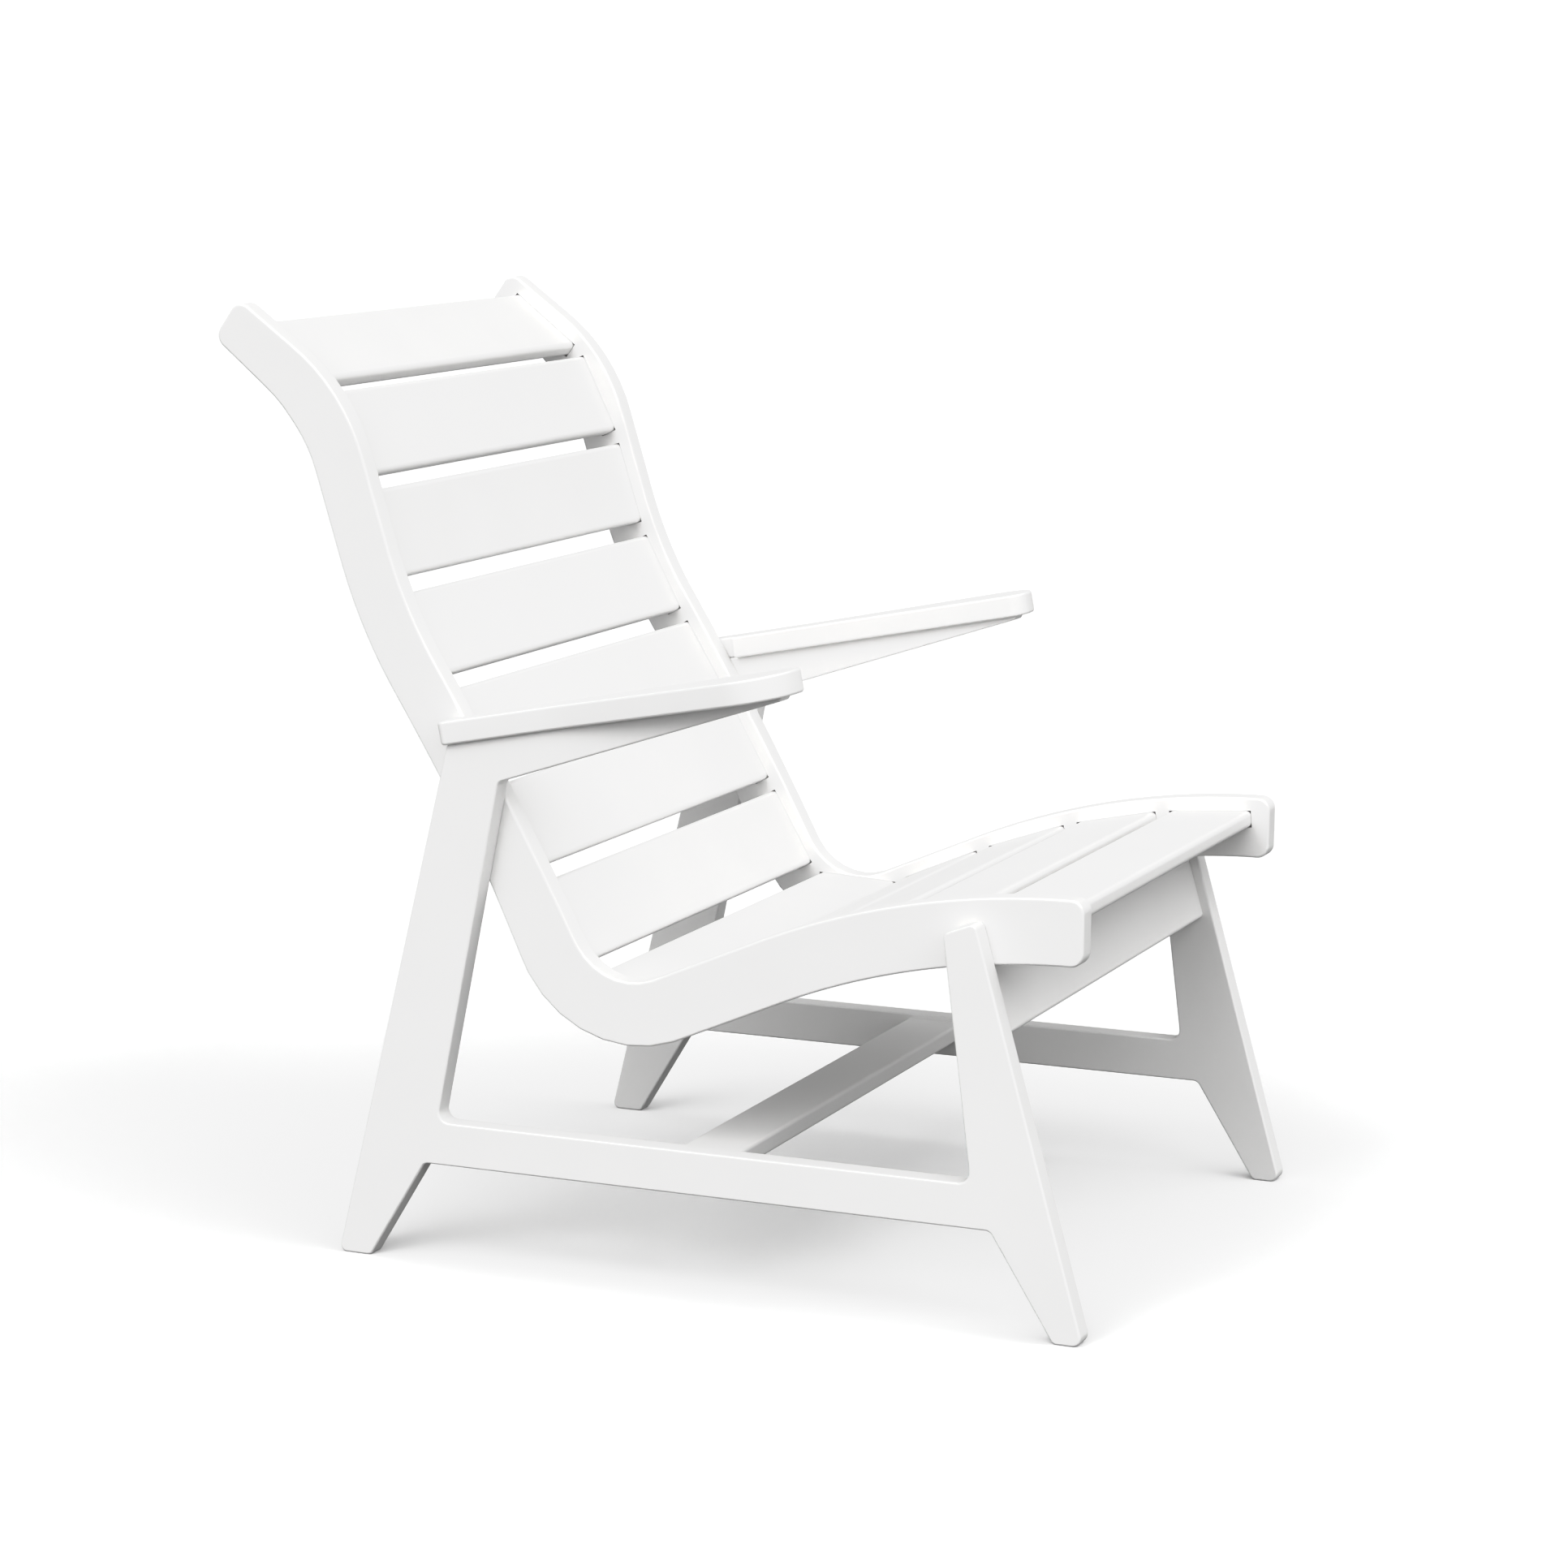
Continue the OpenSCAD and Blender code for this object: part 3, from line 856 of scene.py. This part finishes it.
@dataclass
class SideFrame:
    """One side frame: front leg, rear leg, stretcher and arm bracket cut in one piece."""

    plan: Plan
    side: Side
    finish: bpy.types.Material
    edge_r: float = 2.5 * MM
    counterbore_d: float = 10 * MM
    counterbore_web: float = 7 * MM
    counterbore_len: float = 60 * MM
    counterbore_facets: int = 40

    def corners(self) -> list[Corner]:
        """The outline's corners, from the rear foot up and round.

        Returns:
            The corners in order.
        """
        plan = self.plan
        cross_y, cross_z = plan.cross
        top = plan.stretcher_top
        half = plan.leg_top_w / 2
        knee_back = across((plan.foot_back, 0.0), (cross_y + half, cross_z), top) - plan.leg_low_w
        tip_level = plan.rail_lip - plan.leg_drop
        tip = plan.on_curve(plan.leg_set, tip_level)
        tip_back = plan.on_curve(plan.leg_set + plan.leg_tip_w, tip_level - plan.leg_tip_fall)
        knee_front = plan.front_edge_y(top) + plan.leg_knee_w
        root_z = plan.arm_under(cross_y - half) - plan.bracket_deep
        root_y = across((cross_y - half, cross_z), (knee_back, top), root_z)
        nose_y = plan.arm_y0 + plan.bracket_set
        nose_z = plan.arm_under(nose_y)
        return [
            Corner(plan.foot_back, 0.0, plan.heel_r),
            Corner(plan.arm_back_y, plan.arm_under(plan.arm_back_y), plan.arm_seat_r),
            Corner(nose_y, nose_z),
            Corner(nose_y + plan.bracket_lead, nose_z - plan.bracket_tip, plan.bracket_tip / 2),
            Corner(root_y, root_z, plan.top_r),
            Corner(knee_back, top, plan.window_r),
            Corner(knee_front, top, plan.window_r),
            Corner(*tip_back, plan.top_r),
            Corner(*tip, plan.top_r),
            Corner(plan.foot_front, 0.0, plan.toe_r),
            Corner(plan.foot_front + plan.front_foot_w, 0.0, plan.foot_r),
            Corner(plan.foot_front + plan.front_crotch, plan.stretcher_h, plan.crotch_r),
            Corner(plan.foot_back - plan.rear_crotch, plan.stretcher_h, plan.crotch_r),
            Corner(plan.foot_back - plan.rear_foot_w, 0.0, plan.foot_r),
        ]

    def counterbores(self) -> bpy.types.Object:
        """Cutters for the arm screws' counterbores, up into the bracket.

        Returns:
            The joined cutters.
        """
        plan = self.plan
        x = self.side.value * (plan.frame_w - plan.sheet_t) / 2
        tilt = -math.radians(plan.arm_tilt)
        length = self.counterbore_len
        start = Vector((0, 0, -self.counterbore_web - length / 2))
        cutters = []
        for y in plan.arm_screw_ys():
            cutter = drill(self.counterbore_d / 2, length, self.counterbore_facets, start)
            settle(cutter)
            turn_and_place(cutter, tilt, Vector((x, y, plan.arm_under(y))))
            cutters.append(cutter)
        return joined(cutters)

    def build(self) -> None:
        """Builds the frame and puts it in place."""
        plan = self.plan
        low_x = plan.inner_x if self.side is Side.LEFT else -plan.frame_w / 2
        piece = draw_outline(Plane.UPRIGHT, low_x, self.corners())
        thicken(piece, Plane.UPRIGHT, plan.sheet_t)
        round_rims(piece, 0, (low_x, low_x + plan.sheet_t), self.edge_r)
        cut_away(piece, self.counterbores())
        smooth(piece)
        hand_over(piece, f"side_frame_{self.side.name.lower()}", self.finish)


@dataclass
class Rail:
    """One S-curved rail with a shallow mortise for each slat."""

    plan: Plan
    side: Side
    finish: bpy.types.Material
    edge_r: float = 3 * MM
    steps: int = 78
    cutter_over: float = 2 * MM

    def corners(self) -> list[Corner]:
        """The outline: upper edge front to back, then lower edge back to front.

        Returns:
            The corners in order.
        """
        plan = self.plan
        inset = 2 * plan.rail_end_r
        inner = [inset + (plan.run_len - 2 * inset) * step / self.steps for step in range(self.steps + 1)]
        stations = [(0.0, plan.rail_end_r), *((run, 0.0) for run in inner), (plan.run_len, plan.rail_end_r)]
        upper = [Corner(*plan.on_curve(run, plan.rail_lip), radius) for run, radius in stations]
        lower = [Corner(*plan.on_curve(run, -plan.rail_deep(run)), radius) for run, radius in stations]
        return [*upper, *reversed(lower)]

    def mortises(self) -> bpy.types.Object:
        """Cutters for the slats' mortises.

        Returns:
            The joined cutters.
        """
        plan = self.plan
        play = plan.mortise_play
        deep = plan.mortise_deep + self.cutter_over
        x = self.side.value * (plan.rail_in_x - self.cutter_over + deep / 2)
        cutters = []
        for number in range(plan.slat_count):
            let_go()
            bpy.ops.mesh.primitive_cube_add(size=1, location=(x, 0, -plan.slat_t / 2))
            cutter = bpy.context.object
            cutter.scale = (deep, plan.slat_w + 2 * play, plan.slat_t + 2 * play)
            settle(cutter)
            turn_and_place(cutter, *slat_place(plan, number))
            cutters.append(cutter)
        return joined(cutters)

    def build(self) -> None:
        """Builds the rail and puts it in place."""
        plan = self.plan
        low_x = plan.rail_in_x if self.side is Side.LEFT else -plan.inner_x
        piece = draw_outline(Plane.UPRIGHT, low_x, self.corners())
        thicken(piece, Plane.UPRIGHT, plan.sheet_t)
        round_rims(piece, 0, (low_x, low_x + plan.sheet_t), self.edge_r)
        cut_away(piece, self.mortises())
        smooth(piece)
        hand_over(piece, f"rail_{self.side.name.lower()}", self.finish)


def slat_place(plan: Plan, number: int) -> tuple[float, Vector]:
    """Where a slat's own frame goes: its chord on the seat curve.

    Args:
        plan: The chair's plan.
        number: The slat, counted from the front.

    Returns:
        (tilt about X in radians, place of the middle of its upper face).
    """
    middle = plan.slat_run(number)
    y0, z0 = plan.on_curve(middle - plan.slat_w / 2)
    y1, z1 = plan.on_curve(middle + plan.slat_w / 2)
    return math.atan2(z1 - z0, y1 - y0), Vector((0, (y0 + y1) / 2, (z0 + z1) / 2))


@dataclass
class Board:
    """A straight board across the chair, with rounded long edges and pocket holes below."""

    width: float
    thickness: float
    end_x: float
    edge_r: float
    edge_facets: int = 5
    pocket_angle: float = math.radians(15)
    pocket_d: float = 10 * MM
    pocket_web: float = 24 * MM
    pocket_len: float = 60 * MM
    pocket_facets: int = 32

    def pockets(self) -> bpy.types.Object:
        """Cutters for the pocket holes, two at each end, drilled from the lower face.

        Returns:
            The joined cutters.
        """
        slope = self.pocket_angle
        away = self.pocket_web + self.pocket_len / 2
        z = -self.thickness / 2 - away * math.sin(slope)
        cutters = []
        for side in Side:
            x = side.value * (self.end_x - away * math.cos(slope))
            for y in (-self.width / 4, self.width / 4):
                cutter = drill(self.pocket_d / 2, self.pocket_len, self.pocket_facets, Vector((x, y, z)))
                cutter.rotation_euler = (0, side.value * (math.pi / 2 - slope), 0)
                settle(cutter)
                cutters.append(cutter)
        return joined(cutters)

    def build(self) -> bpy.types.Object:
        """Builds the board in its own frame: its upper face at z = 0, its width along Y.

        Returns:
            The board.
        """
        let_go()
        bpy.ops.mesh.primitive_cube_add(size=1, location=(0, 0, -self.thickness / 2))
        piece = bpy.context.object
        piece.scale = (2 * self.end_x, self.width, self.thickness)
        settle(piece)
        shape(piece, "EDGE")
        pick_edges(piece, lambda start, end: abs(start.x - end.x) > self.end_x)
        bpy.ops.mesh.bevel(affect="EDGES", offset=self.edge_r, segments=self.edge_facets, profile=0.5)
        let_go()
        cut_away(piece, self.pockets())
        smooth(piece)
        return piece


@dataclass
class Slats:
    """The twelve slats of the seat, the bend and the back."""

    plan: Plan
    finish: bpy.types.Material
    edge_r: float = 6 * MM

    def names(self) -> list[str]:
        """The slats' nodes from the front of the seat to the top of the back.

        Returns:
            The names in order.
        """
        seat = [f"seat_slat_{number + 1}" for number in range(self.plan.seat_slats)]
        back = [f"back_slat_{number}" for number in range(1, self.plan.slat_count - self.plan.seat_slats)]
        return [*seat, "bend_slat", *back]

    def build(self) -> None:
        """Builds one slat, copies it along the curve and puts every copy in place."""
        plan = self.plan
        pattern = Board(plan.slat_w, plan.slat_t, plan.slat_end_x, self.edge_r).build()
        for number, name in enumerate(self.names()):
            piece = copy_of(pattern)
            turn_and_place(piece, *slat_place(plan, number))
            hand_over(piece, name, self.finish)
        bpy.data.objects.remove(pattern)


@dataclass
class Arm:
    """One arm board: straight inside, bowed outside, notched round the rail."""

    plan: Plan
    side: Side
    finish: bpy.types.Material
    edge_r: float = 3 * MM
    notch_from: float = 0.9
    notch_to: float = 1.4
    most_bow: float = 0.62

    def notch(self) -> float:
        """Length along the arm, from its front end, where the notch for the rail starts.

        Returns:
            The length.
        """
        plan = self.plan
        low = plan.on_curve(plan.cross_run + self.notch_from * plan.pitch, plan.rail_lip)
        high = plan.on_curve(plan.cross_run + self.notch_to * plan.pitch, plan.rail_lip)
        rail_y = across(low, high, plan.arm_under(plan.cross[0]))
        return (rail_y - plan.arm_gap - plan.arm_y0) / math.cos(math.radians(plan.arm_tilt))

    def corners(self) -> list[Corner]:
        """The outline seen from above, measured along the arm from its front end.

        Returns:
            The corners in order.
        """
        plan = self.plan
        inner = plan.inner_x - plan.arm_inside
        strip = plan.inner_x + plan.arm_side_gap
        notch = self.notch()
        bow_r = min(plan.arm_bow_r, self.most_bow * plan.arm_front_w)
        outline = [
            (inner, 0.0, plan.arm_tip_r),
            (inner + plan.arm_front_w, 0.0, bow_r),
            (inner + plan.arm_back_w, plan.arm_waist, plan.arm_waist_r),
            (inner + plan.arm_back_w, plan.arm_len, plan.arm_tail_r),
            (strip, plan.arm_len, plan.notch_r),
            (strip, notch, plan.notch_r),
            (inner, notch, plan.notch_r),
        ]
        return [Corner(self.side.value * x, y, radius) for x, y, radius in outline]

    def build(self) -> None:
        """Builds the arm and puts it in place."""
        plan = self.plan
        piece = draw_outline(Plane.FLAT, 0.0, self.corners())
        thicken(piece, Plane.FLAT, plan.sheet_t)
        round_rims(piece, 2, (0.0, plan.sheet_t), self.edge_r)
        turn_and_place(piece, -math.radians(plan.arm_tilt), Vector((0, plan.arm_y0, plan.arm_h)))
        smooth(piece)
        hand_over(piece, f"arm_{self.side.name.lower()}", self.finish)


@dataclass
class CrossBoards:
    """The apron under the seat's front and the low cross-board between the stretchers."""

    plan: Plan
    finish: bpy.types.Material
    edge_r: float = 4 * MM

    def apron(self) -> None:
        """Builds the apron and puts it in place."""
        plan = self.plan
        piece = Board(plan.apron_deep, plan.board_t, plan.inner_x, self.edge_r).build()
        lean = plan.apron_lean
        y, z = plan.apron_top
        half = plan.apron_deep / 2
        middle = Vector((0, y - half * math.sin(lean), z - half * math.cos(lean)))
        turn_and_place(piece, math.pi / 2 - lean, middle)
        hand_over(piece, "front_apron", self.finish)

    def low_board(self) -> None:
        """Builds the low cross-board and puts it in place."""
        plan = self.plan
        piece = Board(plan.low_board_w, plan.board_t, plan.inner_x, self.edge_r).build()
        y = (plan.foot_front + plan.foot_back) / 2
        turn_and_place(piece, 0.0, Vector((0, y, plan.stretcher_top - plan.low_board_drop)))
        hand_over(piece, "low_crossboard", self.finish)

    def build(self) -> None:
        """Builds both boards."""
        self.apron()
        self.low_board()


@dataclass
class Hardware:
    """The screws, bolts, washers and inserts, which keep their CAD shapes."""

    nodes: dict[str, bpy.types.Object]
    metals: dict[Slot, bpy.types.Material]
    slots: tuple[tuple[str, Slot], ...] = (
        ("seat_slat_screws", Slot.STEEL),
        ("back_slat_screws", Slot.STEEL),
        ("board_screws", Slot.STEEL),
        ("frame_bolts", Slot.STEEL),
        ("bolt_washers", Slot.STEEL),
        ("arm_screws", Slot.STEEL),
        ("threaded_inserts", Slot.INSERT),
    )

    def dress(self) -> None:
        """Gives every fastener its metal."""
        for name, slot in self.slots:
            metal = self.metals[slot]
            node = self.nodes[name]
            node.data.materials.clear()
            node.data.materials.append(metal)
            log.info("%s: dressed in %s", name, metal.name)


# ---------------------------------------------------------------- the studio


@dataclass(frozen=True)
class Lamp:
    """A wide soft light, far away: where it comes from, its strength and its spread in degrees."""

    name: str
    comes_from: tuple[float, float, float]
    strength: float
    spread: float

    def hang(self) -> None:
        """Hangs the light."""
        turn = (-Vector(self.comes_from)).to_track_quat("-Z", "Y").to_euler()
        bpy.ops.object.light_add(type="SUN", location=self.comes_from, rotation=turn)
        lamp = bpy.context.object
        lamp.name = self.name
        lamp.data.energy = self.strength
        lamp.data.angle = math.radians(self.spread)


@dataclass
class Studio:
    """The pale floor, the soft light and the camera."""

    floor: bpy.types.Material
    rail_front_y: float
    floor_size: float = 60.0
    view_set_back: float = 427.2 * MM
    camera_place: tuple[float, float, float] = (-4.0645, -1.7444, 1.2677)
    camera_target: tuple[float, float, float] = (-0.01468, 0.0342, 0.48856)
    lens: float = 93.38
    sensor: float = 36.0
    sky_front: float = 0.70
    sky_back: float = 0.38
    backdrop: float = 1.3
    lamps: tuple[Lamp, ...] = (
        Lamp("side_light", (-1.0, 0.0, 1.0), 1.2, 50.0),
        Lamp("low_side_light", (-1.0, 0.0, 0.3), 0.85, 50.0),
        Lamp("back_left_light", (-0.8, 0.8, 0.9), 0.45, 50.0),
        Lamp("front_left_light", (-0.3, -1.0, 0.8), 1.1, 50.0),
        Lamp("front_right_light", (0.5, -1.0, 0.7), 0.3, 50.0),
    )
    brightest: float = 1.06
    response: tuple[tuple[float, float], ...] = (
        (0.30, 0.28),
        (0.60, 0.62),
        (0.72, 0.78),
        (0.85, 0.865),
        (1.00, 0.93),
    )

    def lay_floor(self) -> None:
        """Lays the floor."""
        let_go()
        bpy.ops.mesh.primitive_plane_add(size=self.floor_size, location=(0, 0, 0))
        floor = bpy.context.object
        floor.name = "studio_floor"
        floor.data.materials.append(self.floor)

    def light(self) -> None:
        """Hangs the soft lights and lights the sky."""
        world = bpy.data.worlds.new("studio_sky")
        bpy.context.scene.world = world
        world.use_nodes = True
        tree = world.node_tree
        background = tree.nodes["Background"]
        background.inputs["Color"].default_value = (1.0, 1.0, 1.0, 1.0)
        place = tree.nodes.new("ShaderNodeTexCoord").outputs["Generated"]
        depth = tree.nodes.new("ShaderNodeSeparateXYZ")
        tree.links.new(place, depth.inputs["Vector"])
        shade = tree.nodes.new("ShaderNodeMapRange")
        shade.inputs["From Min"].default_value = -1.0
        shade.inputs["To Min"].default_value = self.sky_front
        shade.inputs["To Max"].default_value = self.sky_back
        tree.links.new(depth.outputs["Y"], shade.inputs["Value"])
        path = tree.nodes.new("ShaderNodeLightPath")
        level = tree.nodes.new("ShaderNodeMapRange")
        tree.links.new(shade.outputs["Result"], level.inputs["To Min"])
        level.inputs["To Max"].default_value = self.backdrop
        tree.links.new(path.outputs["Is Camera Ray"], level.inputs["Value"])
        tree.links.new(level.outputs["Result"], background.inputs["Strength"])
        for lamp in self.lamps:
            lamp.hang()

    def camera(self) -> None:
        """Sets up the camera."""
        shift = Vector((0, self.rail_front_y + self.view_set_back, 0))
        place = Vector(self.camera_place) + shift
        turn = (Vector(self.camera_target) + shift - place).to_track_quat("-Z", "Y").to_euler()
        bpy.ops.object.camera_add(location=place, rotation=turn)
        camera = bpy.context.object
        camera.name = "studio_camera"
        camera.data.lens = self.lens
        camera.data.sensor_width = self.sensor
        bpy.context.scene.camera = camera

    def develop(self) -> None:
        """Gives the picture a soft shoulder, so that pale upper faces keep their tone."""
        view = bpy.context.scene.view_settings
        view.view_transform = "Standard"
        view.use_curve_mapping = True
        mapping = view.curve_mapping
        mapping.white_level = [self.brightest] * 3
        curve = mapping.curves[3]
        for seen, shown in self.response:
            curve.points.new(seen / self.brightest, shown)
        mapping.update()

    def build(self) -> None:
        """Sets up the whole studio."""
        self.lay_floor()
        self.light()
        self.camera()
        self.develop()
        log.info("studio ready")


def main() -> None:
    """Builds the chair, piece by piece, and the studio round it."""
    logging.basicConfig(level=logging.INFO, format="%(message)s")
    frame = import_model()
    rail_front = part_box("rail_left")[0].y
    plan = Plan(rail_front_y=rail_front)
    sheet = SheetFinish().make()
    metals = {Slot.STEEL: STEEL.make(), Slot.INSERT: BRASS.make()}
    for side in Side:
        SideFrame(plan, side, sheet).build()
        Rail(plan, side, sheet).build()
        Arm(plan, side, sheet).build()
    Slats(plan, sheet).build()
    CrossBoards(plan, sheet).build()
    Hardware(frame["nodes"], metals).dress()
    Studio(FloorFinish().make(), rail_front).build()
    let_go()


if __name__ == "__main__":
    main()
